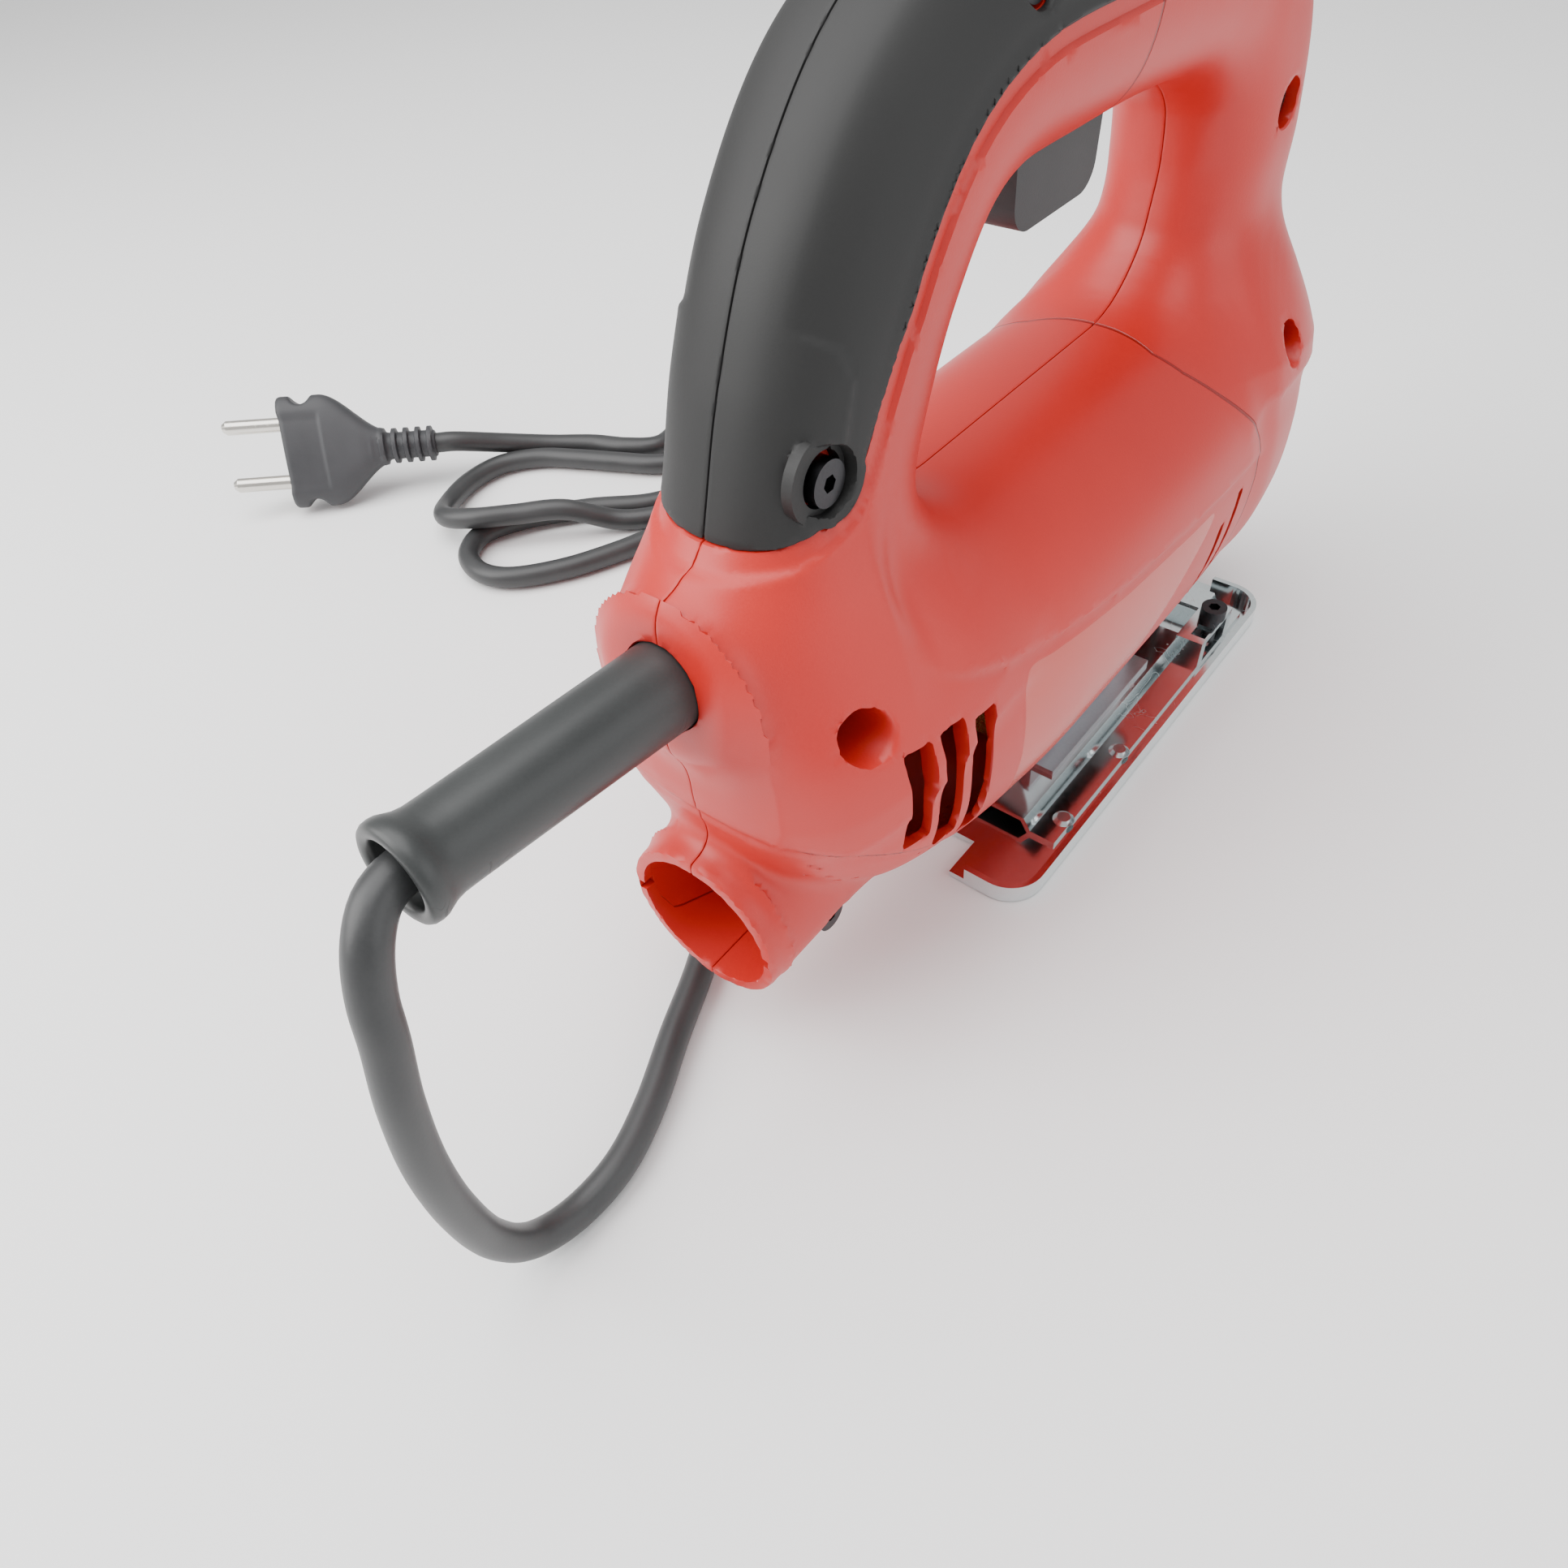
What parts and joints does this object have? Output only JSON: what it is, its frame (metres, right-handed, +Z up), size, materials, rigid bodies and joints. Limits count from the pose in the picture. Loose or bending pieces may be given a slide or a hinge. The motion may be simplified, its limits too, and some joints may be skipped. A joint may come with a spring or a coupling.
{
  "type": "corded jigsaw",
  "caption": "Corded jigsaw with a two-part shell, soft-grip D handle, rear dust port, tilting pressed-steel sole, flexible cord sleeve and mains plug.",
  "frame": {"origin": "centre of the sole's lower face", "axes": "+X forward along the cut, +Y to the left, +Z up"},
  "size_m": [0.284, 0.3156, 0.185],
  "materials": {
    "red_shell": "satin textured",
    "grip_rubber": "soft matte",
    "dark_screw": "blackened",
    "cast_alloy": "as cast",
    "lamination": "varnished",
    "copper_wire": "enamelled copper",
    "bright_steel": "ground",
    "copper_bar": "turned copper",
    "black_plastic": "fine texture",
    "brass": "stamped",
    "carbon": "pressed carbon",
    "gear_steel": "hobbed and oiled",
    "bronze": "sintered",
    "dark_steel": "blackened",
    "zinc_steel": "zinc plated",
    "wire_steel": "drawn wire",
    "lead_pvc": "insulation",
    "sleeve_rubber": "semi-gloss",
    "cord_pvc": "satin",
    "plug_pvc": "matt",
    "pin_nickel": "nickel plated",
    "sole_chrome": "bright plated",
    "channel_chrome": "bright plated",
    "rivet_steel": "spot pressed"
  },
  "bodies": {
    "body": {"housing_right": "red_shell", "housing_left": "red_shell", "grip_pad_right": "grip_rubber", "grip_pad_left": "grip_rubber", "housing_screws": "dark_screw", "gear_case": "cast_alloy", "field_stack": "lamination", "field_windings": "copper_wire", "front_bearing": "bright_steel", "rear_bearing": "bright_steel", "brush_holders": "brass", "carbon_brushes": "carbon", "gear_axle": "bright_steel", "plunger_bushes": "bronze", "roller_bracket": "zinc_steel", "roller_pin": "bright_steel", "blade_guard": "wire_steel", "switch_body": "black_plastic", "cable_clamp": "black_plastic", "cable_clamp_screws": "zinc_steel", "switch_leads": "lead_pvc", "cord_sleeve": "sleeve_rubber", "power_cord": "cord_pvc", "plug_body": "plug_pvc", "plug_pins": "pin_nickel", "tilt_shoe": "dark_steel", "tilt_screws": "dark_screw"},
    "armature": {"armature_core": "lamination", "armature_windings": "copper_wire", "motor_shaft": "bright_steel", "commutator": "copper_bar", "cooling_fan": "black_plastic"},
    "gear": {"drive_gear": "gear_steel"},
    "plunger": {"plunger": "bright_steel", "blade_clamp": "dark_steel", "clamp_screws": "dark_screw"},
    "roller": {"guide_roller": "gear_steel"},
    "trigger": {"trigger": "black_plastic"},
    "lock_button": {"lock_button": "black_plastic"},
    "speed_dial": {"speed_dial": "black_plastic"},
    "sole": {"sole_plate": "sole_chrome", "channel_plate": "channel_chrome", "sole_rivets": "rivet_steel", "fence_screw": "dark_screw", "tilt_cradle": "zinc_steel"}
  },
  "joints": [
    {"name": "armature_spin", "type": "hinge", "parent": "body", "child": "armature", "pos_m": [0, 0, 0.058], "axis": [1, 0, 0], "continuous": true},
    {"name": "gear_spin", "type": "hinge", "parent": "body", "child": "gear", "pos_m": [0.025, 0, 0.0756], "axis": [1, 0, 0], "continuous": true},
    {"name": "plunger_slide", "type": "slide", "parent": "body", "child": "plunger", "axis": [0, 0, 1], "range_m": [-0.009, 0.009]},
    {"name": "roller_spin", "type": "hinge", "parent": "body", "child": "roller", "pos_m": [0.0312, 0, 0.015], "axis": [0, 1, 0], "continuous": true},
    {"name": "trigger_press", "type": "slide", "parent": "body", "child": "trigger", "axis": [0, 0, 1], "range_m": [0, 0.006], "stiffness_N_per_m": 600, "springref_m": -0.008},
    {"name": "lock_press", "type": "slide", "parent": "body", "child": "lock_button", "axis": [0, -1, 0], "range_m": [0, 0.003], "stiffness_N_per_m": 400, "springref_m": -0.003},
    {"name": "dial_turn", "type": "hinge", "parent": "body", "child": "speed_dial", "pos_m": [0.0145, 0, 0.173], "axis": [0, 1, 0], "range_deg": [0, 270]},
    {"name": "sole_tilt", "type": "hinge", "parent": "body", "child": "sole", "pos_m": [0, 0, 0.024], "axis": [1, 0, 0], "range_deg": [-45, 45]}
  ],
  "couplings": [
    {"joint": "gear_spin", "follows": "armature_spin", "ratio": -0.22222}
  ]
}
